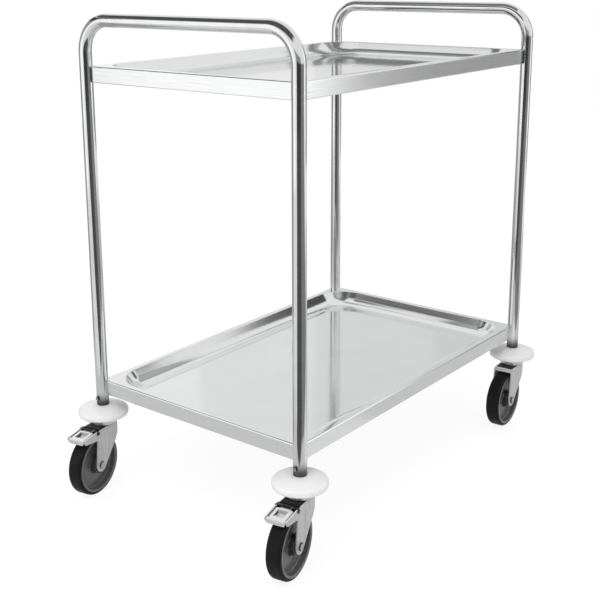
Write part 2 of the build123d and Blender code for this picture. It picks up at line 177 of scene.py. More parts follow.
# Upright cards: name, start and end of the foot line, lowest and highest point, and brightness.
UPRIGHT_CARDS = (
    ("dark_wall_card", (-5.6, -0.6), (-4.6, -4.4), 0.0, 1.0, 0.05),
    ("dark_front_card", (-4.6, -4.4), (-2.9, -6.0), 0.0, 1.0, 0.05),
    ("grey_front_card", (-2.9, -6.0), (2.2, -6.0), 0.0, 1.0, 0.25),
    ("high_wall_card", (-5.6, -0.6), (-4.6, -4.4), 1.0, 2.4, 0.34),
    ("high_front_card", (-4.6, -4.4), (-2.9, -6.0), 1.0, 2.4, 0.34),
    ("dark_back_card", (-1.9, 2.0), (-0.1, 2.0), 1.5, 3.3, 0.04),
    ("bright_left_card", (-3.4, 0.7), (-2.17, 2.51), 0.05, 1.95, 1.3),
    ("grey_back_card", (-2.17, 2.51), (1.6, 4.3), 0.0, 2.2, 0.40),
    ("soft_back_card", (3.5, 3.66), (4.0, 3.0), 0.0, 4.5, 0.90),
    ("soft_far_card", (4.0, 3.0), (4.5, 2.33), 0.0, 4.5, 0.82),
    ("soft_right_card", (4.5, 2.33), (5.6, 0.87), 0.0, 4.5, 0.76),
    ("grey_right_card", (3.5, -2.98), (3.5, 1.2), 0.0, 1.1, 0.38),
    ("dark_far_card", (2.0, -1.06), (2.0, -0.36), 0.85, 1.74, 0.06),
    ("bright_right_card", (3.5, -4.8), (3.5, -2.98), 0.0, 3.2, 1.55),
)


class TrolleySizes(bpy.types.PropertyGroup):
    """Sizes of the pieces that are remade from their rule."""

    tube_radius: FloatProperty(
        name="Tube radius",
        description="Outer radius of the bent end tubes",
        default=HANDLE["dims"]["r_mm"] / 1000,
        unit="LENGTH",
        precision=4,
    )
    bend_radius: FloatProperty(
        name="Bend radius",
        description="Radius of the tube's middle line at the handle's corners",
        default=0.060,
        unit="LENGTH",
        precision=4,
    )
    bend_steps: IntProperty(
        name="Bend steps",
        description="Rings of faces round each bend",
        default=28,
        min=4,
    )
    round_steps: IntProperty(
        name="Round steps",
        description="Faces round the tube",
        default=64,
        min=12,
    )
    tray_depth: FloatProperty(
        name="Tray depth",
        description="How far a shelf's floor lies below its rim",
        default=0.0265,
        unit="LENGTH",
        precision=4,
    )
    wall_lean: FloatProperty(
        name="Wall lean",
        description="How far the walls of a shelf's recess lean out from upright",
        default=math.radians(40),
        subtype="ANGLE",
    )
    floor_radius: FloatProperty(
        name="Floor radius",
        description="Radius between the walls and the floor of a shelf's recess",
        default=0.040,
        unit="LENGTH",
        precision=4,
    )
    corner_steps: IntProperty(
        name="Corner steps",
        description="Faces round each corner of a shelf",
        default=24,
        min=6,
    )


class TrolleyFinish(bpy.types.PropertyGroup):
    """Colours of the materials."""

    tube: FloatVectorProperty(
        name="Tube",
        description="Polished stainless tube",
        subtype="COLOR",
        default=(0.71, 0.715, 0.72),
        min=0,
        max=1,
    )
    sheet: FloatVectorProperty(
        name="Sheet",
        description="Brushed stainless sheet of the shelves",
        subtype="COLOR",
        default=(0.765, 0.772, 0.772),
        min=0,
        max=1,
    )
    zinc: FloatVectorProperty(
        name="Zinc",
        description="Plated pressings of the castors",
        subtype="COLOR",
        default=(0.61, 0.61, 0.61),
        min=0,
        max=1,
    )
    # Colour of a painted highlight on the faces of the castor pressings that look up.
    edge: FloatVectorProperty(
        name="Edge",
        description="Highlit upper faces and edges of the castor pressings",
        subtype="COLOR",
        default=(0.88, 0.88, 0.87),
        min=0,
        max=1,
    )
    fastener: FloatVectorProperty(
        name="Fastener",
        description="Bolts, nuts, pins and stems",
        subtype="COLOR",
        default=(0.50, 0.50, 0.51),
        min=0,
        max=1,
    )
    bumper: FloatVectorProperty(
        name="Bumper",
        description="White moulded discs",
        subtype="COLOR",
        default=(0.93, 0.93, 0.925),
        min=0,
        max=1,
    )
    rim: FloatVectorProperty(
        name="Rim",
        description="Grey moulded wheel centres",
        subtype="COLOR",
        default=(0.13, 0.132, 0.134),
        min=0,
        max=1,
    )
    tyre: FloatVectorProperty(
        name="Tyre",
        description="Dark rubber",
        subtype="COLOR",
        default=(0.010, 0.010, 0.0105),
        min=0,
        max=1,
    )
    sleeve: FloatVectorProperty(
        name="Sleeve",
        description="Black plastic inside the legs",
        subtype="COLOR",
        default=(0.03, 0.03, 0.03),
        min=0,
        max=1,
    )


class TrolleyStage(bpy.types.PropertyGroup):
    """Light, floor and camera."""

    ambient: FloatProperty(
        name="Ambient",
        description="Strength of the even light from all round",
        default=0.78,
        min=0,
    )
    key_power: FloatProperty(
        name="Key power",
        description="Power of the soft lamp on the left",
        default=36.0,
        unit="POWER",
    )
    floor: FloatVectorProperty(
        name="Floor",
        description="Colour of the studio floor",
        subtype="COLOR",
        default=(0.8, 0.8, 0.8),
        min=0,
        max=1,
    )
    lens: FloatProperty(
        name="Lens",
        description="Focal length on a 36 mm sensor",
        default=63.612,
        unit="CAMERA",
    )
    camera_place: FloatVectorProperty(
        name="Camera place",
        description="Where the camera stands",
        subtype="TRANSLATION",
        unit="LENGTH",
        default=(-1.7278, -1.2724, 1.0276),
    )
    camera_turn: FloatVectorProperty(
        name="Camera turn",
        description="Heading from +Y towards +X, tilt below the horizon, and roll",
        subtype="EULER",
        unit="ROTATION",
        default=(math.radians(51.102), math.radians(13.981), math.radians(-0.471)),
    )
    camera_shift: FloatVectorProperty(
        name="Camera shift",
        description="Shift of the lens as a share of the picture's width",
        size=2,
        default=(0.04, -0.117),
    )


class TrolleySettings(bpy.types.PropertyGroup):
    """All settings of the trolley."""

    sizes: PointerProperty(type=TrolleySizes)
    finish: PointerProperty(type=TrolleyFinish)
    stage: PointerProperty(type=TrolleyStage)


def add_node(tree, kind, **settings):
    """New node with its settings."""
    node = tree.nodes.new(kind)
    for name, value in settings.items():
        setattr(node, name, value)
    return node


def join(tree, *pairs):
    """Links each output socket to its input socket."""
    for source, target in pairs:
        tree.links.new(source, target)


def feed(tree, value, target):
    """Links an input to a socket, or sets it to a plain value."""
    if isinstance(value, bpy.types.NodeSocket):
        join(tree, (value, target))
    else:
        target.default_value = value


def new_group(name, inputs, outputs):
    """Empty shader node group with its sockets, and its two end nodes."""
    group = bpy.data.node_groups.new(name, "ShaderNodeTree")
    for label, kind, value in inputs:
        socket = group.interface.new_socket(name=label, in_out="INPUT", socket_type=kind)
        if value is not None:
            socket.default_value = value
    for label, kind in outputs:
        group.interface.new_socket(name=label, in_out="OUTPUT", socket_type=kind)
    return group, group.nodes.new("NodeGroupInput"), group.nodes.new("NodeGroupOutput")


def shared_group(name, build):
    """Node group of that name, built the first time that it is asked for."""
    return bpy.data.node_groups.get(name) or build(name)


def build_streaks(name):
    """Fine polishing lines: a noise drawn out along one way, as a mask and a height."""
    group, given, result = new_group(
        name,
        [("Vector", "NodeSocketVector", None), ("Scale", "NodeSocketFloat", 1.0)],
        [("Mask", "NodeSocketFloat"), ("Height", "NodeSocketFloat")],
    )
    fine = add_node(group, "ShaderNodeTexNoise")
    fine.inputs["Detail"].default_value = 3.0
    fine.inputs["Roughness"].default_value = 0.65
    spread = add_node(group, "ShaderNodeMapRange", interpolation_type="SMOOTHSTEP")
    spread.inputs["From Min"].default_value = 0.32
    spread.inputs["From Max"].default_value = 0.68
    join(
        group,
        (given.outputs["Vector"], fine.inputs["Vector"]),
        (given.outputs["Scale"], fine.inputs["Scale"]),
        (fine.outputs["Fac"], spread.inputs["Value"]),
        (spread.outputs["Result"], result.inputs["Mask"]),
        (fine.outputs["Fac"], result.inputs["Height"]),
    )
    return group


def build_marks(name):
    """Faint cloudy marks of handling and wiping, as a mask."""
    group, given, result = new_group(
        name,
        [("Vector", "NodeSocketVector", None), ("Scale", "NodeSocketFloat", 9.0)],
        [("Mask", "NodeSocketFloat")],
    )
    cloud = add_node(group, "ShaderNodeTexNoise")
    cloud.inputs["Detail"].default_value = 5.0
    cloud.inputs["Distortion"].default_value = 0.6
    spread = add_node(group, "ShaderNodeMapRange", interpolation_type="SMOOTHSTEP")
    spread.inputs["From Min"].default_value = 0.38
    spread.inputs["From Max"].default_value = 0.72
    join(
        group,
        (given.outputs["Vector"], cloud.inputs["Vector"]),
        (given.outputs["Scale"], cloud.inputs["Scale"]),
        (cloud.outputs["Fac"], spread.inputs["Value"]),
        (spread.outputs["Result"], result.inputs["Mask"]),
    )
    return group


def build_skin(name):
    """Fine spark-eroded skin of a moulding, as a height."""
    group, given, result = new_group(
        name,
        [("Vector", "NodeSocketVector", None), ("Scale", "NodeSocketFloat", 900.0)],
        [("Height", "NodeSocketFloat")],
    )
    pits = add_node(group, "ShaderNodeTexNoise")
    pits.inputs["Detail"].default_value = 2.0
    cells = add_node(group, "ShaderNodeTexVoronoi", feature="SMOOTH_F1")
    summed = add_node(group, "ShaderNodeMath", operation="ADD")
    join(
        group,
        (given.outputs["Vector"], pits.inputs["Vector"]),
        (given.outputs["Scale"], pits.inputs["Scale"]),
        (given.outputs["Vector"], cells.inputs["Vector"]),
        (given.outputs["Scale"], cells.inputs["Scale"]),
        (pits.outputs["Fac"], summed.inputs[0]),
        (cells.outputs["Distance"], summed.inputs[1]),
        (summed.outputs["Value"], result.inputs["Height"]),
    )
    return group


def build_facing(name):
    """How far a surface faces along a given way, as a mask that needs no light or camera."""
    group, given, result = new_group(
        name,
        [
            ("Way", "NodeSocketVector", (0.0, 0.0, 1.0)),
            ("From", "NodeSocketFloat", 0.7),
            ("To", "NodeSocketFloat", 0.9),
        ],
        [("Mask", "NodeSocketFloat")],
    )
    place = add_node(group, "ShaderNodeTexCoord")
    dot = add_node(group, "ShaderNodeVectorMath", operation="DOT_PRODUCT")
    spread = add_node(group, "ShaderNodeMapRange", interpolation_type="SMOOTHSTEP")
    join(
        group,
        (place.outputs["Normal"], dot.inputs[0]),
        (given.outputs["Way"], dot.inputs[1]),
        (dot.outputs["Value"], spread.inputs["Value"]),
        (given.outputs["From"], spread.inputs["From Min"]),
        (given.outputs["To"], spread.inputs["From Max"]),
        (spread.outputs["Result"], result.inputs["Mask"]),
    )
    return group


def new_material(name):
    """Material, its node tree and its shader."""
    material = bpy.data.materials.new(name)
    material.use_nodes = True
    return material, material.node_tree, material.node_tree.nodes["Principled BSDF"]


def place_group(tree, name, build, vector, scale):
    """Shared group set into a material, fed with a vector and a scale."""
    node = add_node(tree, "ShaderNodeGroup", node_tree=shared_group(name, build))
    node.inputs["Scale"].default_value = scale
    join(tree, (vector, node.inputs["Vector"]))
    return node


def facing(tree, way, start=0.7, end=0.9):
    """Mask of the surfaces that face along a way."""
    node = add_node(tree, "ShaderNodeGroup", node_tree=shared_group("Facing", build_facing))
    node.inputs["Way"].default_value = way
    node.inputs["From"].default_value = start
    node.inputs["To"].default_value = end
    return node.outputs["Mask"]


def band(tree, value, start, end):
    """Mask that goes from 0 to 1 between two values, either way round."""
    node = add_node(tree, "ShaderNodeMapRange", interpolation_type="SMOOTHSTEP")
    node.inputs["From Min"].default_value = min(start, end)
    node.inputs["From Max"].default_value = max(start, end)
    node.inputs["To Min"].default_value = 0.0 if start < end else 1.0
    node.inputs["To Max"].default_value = 1.0 if start < end else 0.0
    join(tree, (value, node.inputs["Value"]))
    return node.outputs["Result"]


def place_of(tree):
    """Place of a point in the piece's own coordinates."""
    return add_node(tree, "ShaderNodeTexCoord").outputs["Object"]


def height_of(tree, place):
    """Height of a point above the floor."""
    node = add_node(tree, "ShaderNodeSeparateXYZ")
    join(tree, (place, node.inputs["Vector"]))
    return node.outputs["Z"]


def calculated(tree, operation, *values):
    """Result of one sum on sockets and numbers."""
    node = add_node(tree, "ShaderNodeMath", operation=operation)
    for value, target in zip(values, node.inputs):
        feed(tree, value, target)
    return node.outputs[0]


def both(tree, first, second):
    """Mask where both masks are."""
    return calculated(tree, "MULTIPLY", first, second)


def either(tree, first, second):
    """Mask where one mask is or the other."""
    return calculated(tree, "MAXIMUM", first, second)


def mixed(tree, mask, first, second):
    """Value that goes over into another where the mask is 1; either may be a socket."""
    mix = add_node(tree, "ShaderNodeMix", data_type="FLOAT")
    join(tree, (mask, mix.inputs[0]))
    feed(tree, first, mix.inputs[2])
    feed(tree, second, mix.inputs[3])
    return mix.outputs[0]


def swapped(tree, mask, first, second):
    """Vector that goes over into another where the mask is 1."""
    mix = add_node(tree, "ShaderNodeMix", data_type="VECTOR")
    join(tree, (mask, mix.inputs[0]), (first, mix.inputs[4]), (second, mix.inputs[5]))
    return mix.outputs[1]


def blended(tree, mask, first, second):
    """Colour that goes over into another where the mask is 1; either may be a socket."""
    mix = add_node(tree, "ShaderNodeMix", data_type="RGBA")
    join(tree, (mask, mix.inputs[0]))
    for colour, target in ((first, mix.inputs[6]), (second, mix.inputs[7])):
        feed(tree, colour if isinstance(colour, bpy.types.NodeSocket) else (*colour, 1), target)
    return mix.outputs[2]


def faded(colour, share):
    """Colour brought to a share of itself."""
    return [part * share for part in colour]


def tinted(tree, mask, colour, share):
    """Colour that falls to a share of itself where the mask is 1."""
    return blended(tree, mask, colour, faded(colour, share))


def stretched(tree, vector, scale):
    """Vector with its axes scaled, so that a pattern on it is drawn out."""
    mapping = add_node(tree, "ShaderNodeMapping")
    mapping.inputs["Scale"].default_value = scale
    join(tree, (vector, mapping.inputs["Vector"]))
    return mapping.outputs["Vector"]


def ranged(tree, value, low, high):
    """Mask from 0 to 1 turned into a range of values."""
    node = add_node(tree, "ShaderNodeMapRange")
    node.inputs["To Min"].default_value = low
    node.inputs["To Max"].default_value = high
    join(tree, (value, node.inputs["Value"]))
    return node.outputs["Result"]


def raised(tree, height, depth, strength):
    """Bump from a height, with its depth in metres."""
    bump = add_node(tree, "ShaderNodeBump")
    bump.inputs["Strength"].default_value = strength
    bump.inputs["Distance"].default_value = depth
    join(tree, (height, bump.inputs["Height"]))
    return bump.outputs["Normal"]


def tube_steel(colour, disc_top):
    """Polished tube with fine lines along its length, faint marks, and painted shade that darkens its foot next to
    the disc.
    """
    material, tree, shader = new_material("stainless_tube")
    grain = add_node(tree, "ShaderNodeAttribute", attribute_name="grain").outputs["Vector"]
    height = height_of(tree, place_of(tree))
    drawn = stretched(tree, grain, scale=(1400, 1400, 14))
    lines = place_group(tree, "Streaks", build_streaks, drawn, scale=1.0)
    marks = place_group(tree, "Marks", build_marks, grain, scale=22.0)
    clean = tinted(tree, marks.outputs["Mask"], colour, share=0.93)
    # Painted shade: the tube's foot next to the disc falls to 12 % of its colour.
    painted_foot_shade = faded(colour, share=0.12)
    foot_shade_mask = band(tree, height, start=disc_top + FOOT_SHADE_FROM, end=disc_top + FOOT_SHADE_BELOW)
    shader.inputs["Metallic"].default_value = 1.0
    join(
        tree,
        (blended(tree, foot_shade_mask, clean, painted_foot_shade), shader.inputs["Base Color"]),
        (ranged(tree, lines.outputs["Mask"], low=0.07, high=0.13), shader.inputs["Roughness"]),
        (raised(tree, lines.outputs["Height"], depth=0.00001, strength=0.08), shader.inputs["Normal"]),
    )
    return material


def sheet_steel(name, colour, polish):
    """Sheet with mirror floors, brushed aprons and satin bends."""
    material, tree, shader = new_material(name)
    place = place_of(tree)
    ends = either(tree, facing(tree, (1, 0, 0)), facing(tree, (-1, 0, 0)))
    level = facing(tree, (0, 0, 1), start=0.9, end=0.99)
    upward = facing(tree, (0, 0, 1), start=0.12, end=0.3)
    along = stretched(tree, place, scale=(12, 1500, 1500))
    across = stretched(tree, place, scale=(1500, 12, 1500))
    drawn = swapped(tree, ends, along, across)
    lines = place_group(tree, "Streaks", build_streaks, drawn, scale=1.0)
    marks = place_group(tree, "Marks", build_marks, place, scale=7.0)
    clean = tinted(tree, marks.outputs["Mask"], colour, share=0.97)
    brushed = tinted(tree, lines.outputs["Mask"], colour, share=0.93)
    satin = 0.14
    spread = 0.05
    side = mixed(tree, upward, ranged(tree, lines.outputs["Mask"], low=0.15, high=0.23), satin)
    mirror = ranged(tree, lines.outputs["Mask"], low=polish, high=polish + spread)
    shader.inputs["Metallic"].default_value = 1.0
    join(
        tree,
        (blended(tree, level, brushed, clean), shader.inputs["Base Color"]),
        (mixed(tree, level, side, mirror), shader.inputs["Roughness"]),
        (raised(tree, lines.outputs["Height"], depth=0.00001, strength=0.12), shader.inputs["Normal"]),
    )
    return material


def zinc_plate(name, colour, bright, crown, front):
    """Plated pressing: upright rolling lines, light mottle, a painted highlight on faces that look up, and painted
    shade that makes the crown near black.
    """
    material, tree, shader = new_material(name)
    place = place_of(tree)
    height = height_of(tree, place)
    drawn = stretched(tree, place, scale=(420, 420, 10))
    lines = place_group(tree, "Streaks", build_streaks, drawn, scale=1.0)
    marks = place_group(tree, "Marks", build_marks, place, scale=60.0)
    upward = facing(tree, (0, 0, 1), start=0.55, end=0.85)
    # Painted shade: the crown's top, and on braked forks the front face just under it, go near black.
    top = band(tree, height, start=crown - TOP_SHADE_FROM, end=crown - TOP_SHADE_FULL)
    painted_crown_shade = both(tree, upward, top)
    if front:
        upper = band(tree, height, start=crown - FRONT_SHADE_FROM, end=crown - FRONT_SHADE_FULL)
        painted_crown_shade = either(tree, painted_crown_shade, both(tree, upper, facing(tree, (-1, 0, 0))))
    plain = tinted(tree, lines.outputs["Mask"], colour, share=0.82)
    # Painted highlight: faces that look up take the lighter edge colour.
    lit_faces = blended(tree, upward, plain, bright)
    shader.inputs["Metallic"].default_value = 0.25
    join(
        tree,
        (blended(tree, painted_crown_shade, lit_faces, CROWN_SHADE), shader.inputs["Base Color"]),
        (ranged(tree, marks.outputs["Mask"], low=0.30, high=0.44), shader.inputs["Roughness"]),
        (raised(tree, lines.outputs["Height"], depth=0.00002, strength=0.3), shader.inputs["Normal"]),
    )
    return material


def fastener_steel(name, colour, way, share=0.12):
    """Plated fastener: end faces in its colour with faint marks, and painted shade on the sides, which keep only a
    share of the colour; a share above 1 makes the sides a painted highlight.
    """
    material, tree, shader = new_material(name)
    marks = place_group(tree, "Marks", build_marks, place_of(tree), scale=240.0)
    ahead = facing(tree, way, start=0.8, end=0.95)
    behind = facing(tree, [-part for part in way], start=0.8, end=0.95)
    lit_faces = tinted(tree, marks.outputs["Mask"], colour, share=0.75)
    # Painted shade on the sides, or a painted highlight where the share is above 1.
    side = faded(colour, share)
    shader.inputs["Metallic"].default_value = 0.8
    join(
        tree,
        (blended(tree, either(tree, ahead, behind), side, lit_faces), shader.inputs["Base Color"]),
        (ranged(tree, marks.outputs["Mask"], low=0.25, high=0.42), shader.inputs["Roughness"]),
    )
    return material


def moulded_plastic(name, colour, smooth, rough, depth, marks_scale, marks_share, shine=0.5):
    """Moulded plastic with a fine skin and faint marks."""
    material, tree, shader = new_material(name)
    place = place_of(tree)
    skin = place_group(tree, "Moulded skin", build_skin, place, scale=1300.0)
    marks = place_group(tree, "Marks", build_marks, place, marks_scale)
    shader.inputs["Specular IOR Level"].default_value = shine
    join(
        tree,
        (tinted(tree, marks.outputs["Mask"], colour, marks_share), shader.inputs["Base Color"]),
        (ranged(tree, marks.outputs["Mask"], smooth, rough), shader.inputs["Roughness"]),
        (raised(tree, skin.outputs["Height"], depth, strength=0.35), shader.inputs["Normal"]),
    )
    return material


def paint_hub_shade(material, axle):
    """Paints shade on a wheel centre: near black close to its axle, fading out further away."""
    tree = material.node_tree
    shader = tree.nodes["Principled BSDF"]
    plain = shader.inputs["Base Color"].links[0].from_socket
    offset = add_node(tree, "ShaderNodeVectorMath", operation="SUBTRACT")
    offset.inputs[1].default_value = axle["pos_m"]
    across = add_node(tree, "ShaderNodeVectorMath", operation="CROSS_PRODUCT")
    across.inputs[1].default_value = axle["axis"]
    distance = add_node(tree, "ShaderNodeVectorMath", operation="LENGTH")
    join(
        tree,
        (place_of(tree), offset.inputs[0]),
        (offset.outputs["Vector"], across.inputs[0]),
        (across.outputs["Vector"], distance.inputs[0]),
    )
    # Painted shade: near black within the hub's radius, gone by the end of the fade.
    hub = band(tree, distance.outputs["Value"], start=HUB_RADIUS + HUB_FADE, end=HUB_RADIUS)
    join(tree, (blended(tree, hub, plain, HUB_SHADE), shader.inputs["Base Color"]))
    return material


def dress(material, *names):
    """Gives CAD nodes a material."""
    for name in names:
        frame["nodes"][name].material_slots[0].material = material


def bent_tube_tree(material):
    """Geometry nodes: a tube up one leg, over the handle and down the other leg."""
    tree = bpy.data.node_groups.new("Bent tube", "GeometryNodeTree")
    for name, kind in (
        ("End", "NodeSocketFloat"),
        ("Leg", "NodeSocketFloat"),
        ("Foot", "NodeSocketFloat"),
        ("Handle", "NodeSocketFloat"),
        ("Tube radius", "NodeSocketFloat"),
        ("Bend radius", "NodeSocketFloat"),
        ("Bend steps", "NodeSocketInt"),
        ("Round steps", "NodeSocketInt"),
    ):
        tree.interface.new_socket(name=name, in_out="INPUT", socket_type=kind)
    tree.interface.new_socket(name="Geometry", in_out="OUTPUT", socket_type="NodeSocketGeometry")
    given = tree.nodes.new("NodeGroupInput").outputs
    result = tree.nodes.new("NodeGroupOutput")
    mirrored = calculated(tree, "MULTIPLY", given["Leg"], -1.0)
    line = add_node(tree, "GeometryNodeCurvePrimitiveQuadrilateral", mode="POINTS")
    corners = (
        (mirrored, given["Foot"]),
        (mirrored, given["Handle"]),
        (given["Leg"], given["Handle"]),
        (given["Leg"], given["Foot"]),
    )
    for number, (side, height) in enumerate(corners, start=1):
        corner = add_node(tree, "ShaderNodeCombineXYZ")
        join(
            tree,
            (given["End"], corner.inputs["X"]),
            (side, corner.inputs["Y"]),
            (height, corner.inputs["Z"]),
            (corner.outputs["Vector"], line.inputs[f"Point {number}"]),
        )
    opened = add_node(tree, "GeometryNodeSetSplineCyclic")
    opened.inputs["Cyclic"].default_value = False
    bends = add_node(tree, "GeometryNodeFilletCurve", mode="POLY")
    along = add_node(tree, "GeometryNodeCaptureAttribute")
    along.capture_items.new("FLOAT", "Length")
    measure = add_node(tree, "GeometryNodeSplineParameter")
    ring = add_node(tree, "GeometryNodeCurvePrimitiveCircle")
    around = add_node(tree, "GeometryNodeCaptureAttribute")
    around.capture_items.new("VECTOR", "Place")
    place = add_node(tree, "GeometryNodeInputPosition")
    sweep = add_node(tree, "GeometryNodeCurveToMesh")
    sweep.inputs["Fill Caps"].default_value = True
    split = add_node(tree, "ShaderNodeSeparateXYZ")
    grain = add_node(tree, "ShaderNodeCombineXYZ")
    stored = add_node(tree, "GeometryNodeStoreNamedAttribute", data_type="FLOAT_VECTOR", domain="POINT")
    stored.inputs["Name"].default_value = "grain"
    real = add_node(tree, "GeometryNodeRealizeInstances")
    coated = add_node(tree, "GeometryNodeSetMaterial")
    coated.inputs["Material"].default_value = material
    join(
        tree,
        (line.outputs["Curve"], opened.inputs["Geometry"]),
        (opened.outputs["Geometry"], bends.inputs["Curve"]),
        (given["Bend steps"], bends.inputs["Count"]),
        (given["Bend radius"], bends.inputs["Radius"]),
        (bends.outputs["Curve"], along.inputs["Geometry"]),
        (measure.outputs["Length"], along.inputs[1]),
        (given["Round steps"], ring.inputs["Resolution"]),
        (given["Tube radius"], ring.inputs["Radius"]),
        (ring.outputs["Curve"], around.inputs["Geometry"]),
        (place.outputs["Position"], around.inputs[1]),
        (along.outputs["Geometry"], sweep.inputs["Curve"]),
        (around.outputs["Geometry"], sweep.inputs["Profile Curve"]),
        (around.outputs[1], split.inputs["Vector"]),
        (split.outputs["X"], grain.inputs["X"]),
        (split.outputs["Y"], grain.inputs["Y"]),
        (along.outputs[1], grain.inputs["Z"]),
        (sweep.outputs["Mesh"], stored.inputs["Geometry"]),
        (grain.outputs["Vector"], stored.inputs["Value"]),
        (stored.outputs["Geometry"], real.inputs["Geometry"]),
        (real.outputs["Geometry"], coated.inputs["Geometry"]),
        (coated.outputs["Geometry"], result.inputs["Geometry"]),
    )
    return tree


def placed(name, mesh):
    """Object for a mesh, at the origin of the scene."""
    piece = bpy.data.objects.new(name, mesh)
    bpy.context.scene.collection.objects.link(piece)
    return piece


def baked(name, tree, values):
    """Plain mesh object that a geometry node tree makes from its named values."""
    piece = placed(name, bpy.data.meshes.new(name))
    maker = piece.modifiers.new("Maker", "NODES")
    maker.node_group = tree
    for socket in tree.interface.items_tree:
        if socket.in_out == "INPUT":
            maker[socket.identifier] = values[socket.name]
    made = piece.evaluated_get(bpy.context.evaluated_depsgraph_get())
    mesh = bpy.data.meshes.new_from_object(made)
    piece.modifiers.remove(maker)
    piece.data = mesh
    if not mesh.polygons:
        raise RuntimeError(f"{name} came out empty")
    return piece


class TROLLEY_OT_end_frames(bpy.types.Operator):
    """Bends the two end tubes and puts them in place of the plain ones"""

    bl_idname = "trolley.end_frames"
    bl_label = "End frames"

    def execute(self, context):
        settings = context.scene.trolley
        sizes = settings.sizes
        disc_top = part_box("bumper_disc_front_left")[1].z
        tree = bent_tube_tree(tube_steel(settings.finish.tube, disc_top))
        for node, leg in (("left_end_frame", "rear_left"), ("right_end_frame", "rear_right")):
            low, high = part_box(node)
            foot = SWIVELS[leg]["pos_m"]
            tube = baked(
                node.replace("frame", "tube"),
                tree,
                {
                    "End": foot[0],
                    "Leg": foot[1],
                    "Foot": low.z,
                    "Handle": high.z - sizes.tube_radius,
                    "Tube radius": sizes.tube_radius,
                    "Bend radius": sizes.bend_radius,
                    "Bend steps": sizes.bend_steps,
                    "Round steps": sizes.round_steps,
                },
            )
            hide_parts(node)
            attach(tube, "chassis")
        return {"FINISHED"}


def turned(inset, height, radius, start, end, steps=12):
    """Points along an arc, from one angle to another."""
    points = []
    for step in range(steps + 1):
        angle = start + (end - start) * step / steps
        points.append((inset + radius * math.cos(angle), height + radius * math.sin(angle)))
    return points


def steadied(points, margin=0.0005):
    """Profile with a point close to both ends of each long run, which keeps flat faces evenly shaded."""
    result = [points[0]]
    for first, second in zip(points, points[1:]):
        length = math.dist(first, second)
        if length > 4 * margin:
            for share in (margin / length, 1 - margin / length):
                result.append(tuple(a + (b - a) * share for a, b in zip(first, second)))
        result.append(second)
    return result


def apron_profile(apron, skin):
    """Inset and height of the apron's outer skin, or of its inner one, from the hem up to the rim."""
    top = turned(RIM_BEND, -RIM_BEND, RIM_BEND - skin, math.pi, math.pi / 2)
    if skin:
        return steadied([(HEM_WIDTH, skin - apron), (skin, skin - apron), *top])
    hem = turned(HEM_BEND, HEM_BEND - apron, HEM_BEND, math.pi * 1.5, math.pi)
    return steadied([(HEM_WIDTH, -apron), *hem, *top])


def recess_profile(sizes, skin):
    """Inset and height of the recess's upper skin, or of its lower one, from the rim down to the floor."""
    lean = sizes.wall_lean
    lip = turned(RECESS_EDGE, -RECESS_LIP, RECESS_LIP - skin, math.pi / 2, lean)
    drop = sizes.tray_depth - (sizes.floor_radius + RECESS_LIP) * (1 - math.sin(lean))
    reach = drop * math.tan(lean) + (sizes.floor_radius + RECESS_LIP) * math.cos(lean)
    foot = turned(
        RECESS_EDGE + reach,
        sizes.floor_radius - sizes.tray_depth,
        sizes.floor_radius + skin,
        math.pi + lean,
        math.pi * 1.5,
    )
    inner = (foot[-1][0] + FLOOR_RUN, foot[-1][1])
    outer = (RECESS_EDGE - SHEET, lip[0][1])
    return steadied([outer, *lip, *foot, inner])


def all_round(corner):
    """Ring of points round a shelf from those of its first corner."""
    back = corner[::-1]
    return (
        corner
        + [(-x, y) for x, y in back]
        + [(-x, -y) for x, y in corner]
        + [(x, -y) for x, y in back]
    )


def notched_ring(end, side, inset, notch, steps):
    """Ring along the straight edges of a shelf, round the notches for the legs."""
    share = min(inset / notch, math.sin(math.pi / 4))
    start = math.pi * 1.5 - math.asin(share)
    finish = math.pi + math.asin(share)
    return all_round(turned(end, side, max(notch, inset * math.sqrt(2)), start, finish, steps))


def rounded_ring(end, side, inset, steps):
    """Ring round the recess of a shelf, with its large corners."""
    centre = (end - RECESS_CORNER, side - RECESS_CORNER)
    return all_round(turned(*centre, RECESS_CORNER - inset, 0, math.pi / 2, steps))


def pressed_sheet(name, node, sizes, material):
    """Shelf pressed from one sheet: hemmed apron, flat rim, leaning walls and a sunk floor."""
    low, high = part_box(node)
    notch = sizes.tube_radius + WELD_GAP
    made = bmesh.new()

    def rings(skin):
        """Rings of points of one skin, from the hem to the floor."""
        result = []
        for inset, height in apron_profile(high.z - low.z, skin):
            result.append((notched_ring(high.x, high.y, inset, notch, sizes.corner_steps), height))
        for inset, height in recess_profile(sizes, skin):
            result.append((rounded_ring(high.x, high.y, inset, sizes.corner_steps), height))
        return [[made.verts.new((x, y, high.z + height)) for x, y in ring] for ring, height in result]

    outer = rings(0.0)
    inner = rings(SHEET)
    for first, second in (*zip(outer, outer[1:]), *zip(inner, inner[1:]), (outer[0], inner[0])):
        for index, corner in enumerate(first):
            made.faces.new((first[index - 1], corner, second[index], second[index - 1]))
    made.faces.new(outer[-1])
    made.faces.new(inner[-1])
    bmesh.ops.remove_doubles(made, verts=made.verts, dist=MERGE_REACH)
    bmesh.ops.recalc_face_normals(made, faces=made.faces)
    mesh = bpy.data.meshes.new(name)
    made.to_mesh(mesh)
    made.free()
    mesh.shade_smooth()
    mesh.set_sharp_from_angle(angle=SHARP_ANGLE)
    mesh.materials.append(material)
    return placed(name, mesh)


